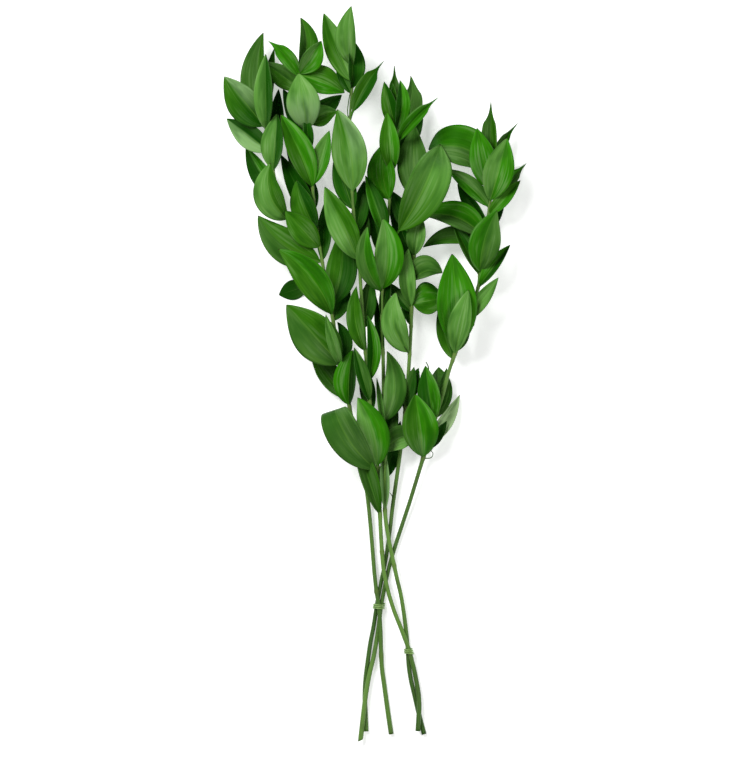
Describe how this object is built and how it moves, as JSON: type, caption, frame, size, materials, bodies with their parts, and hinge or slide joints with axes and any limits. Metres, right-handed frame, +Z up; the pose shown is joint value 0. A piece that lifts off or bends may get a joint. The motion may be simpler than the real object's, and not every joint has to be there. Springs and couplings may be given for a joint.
{
  "type": "dried ruscus stem bunch",
  "caption": "Preserved leafy ruscus stems laid flat in one bunch, their bare lower ends held by thin wire ties.",
  "frame": {"origin": "on the surface the bunch lies on, under the middle of its bounding box", "axes": "+Y along the bunch from the cut ends to the leafy tips, +Z up from the surface it lies on, towards the viewer of the picture, +X to the picture's right"},
  "size_m": [0.269, 0.6497, 0.0741],
  "materials": {
    "leafy_stem_a": "satin",
    "leafy_stem_b": "satin",
    "leafy_stem_c": "satin",
    "leafy_stem_d": "satin",
    "leafy_stem_e": "satin",
    "tie_left": "satin",
    "tie_right": "satin"
  },
  "bodies": {
    "root": {"leafy_stem_a": "leafy_stem_a", "leafy_stem_b": "leafy_stem_b", "leafy_stem_c": "leafy_stem_c", "leafy_stem_d": "leafy_stem_d", "leafy_stem_e": "leafy_stem_e", "tie_left": "tie_left", "tie_right": "tie_right"}
  },
  "joints": []
}
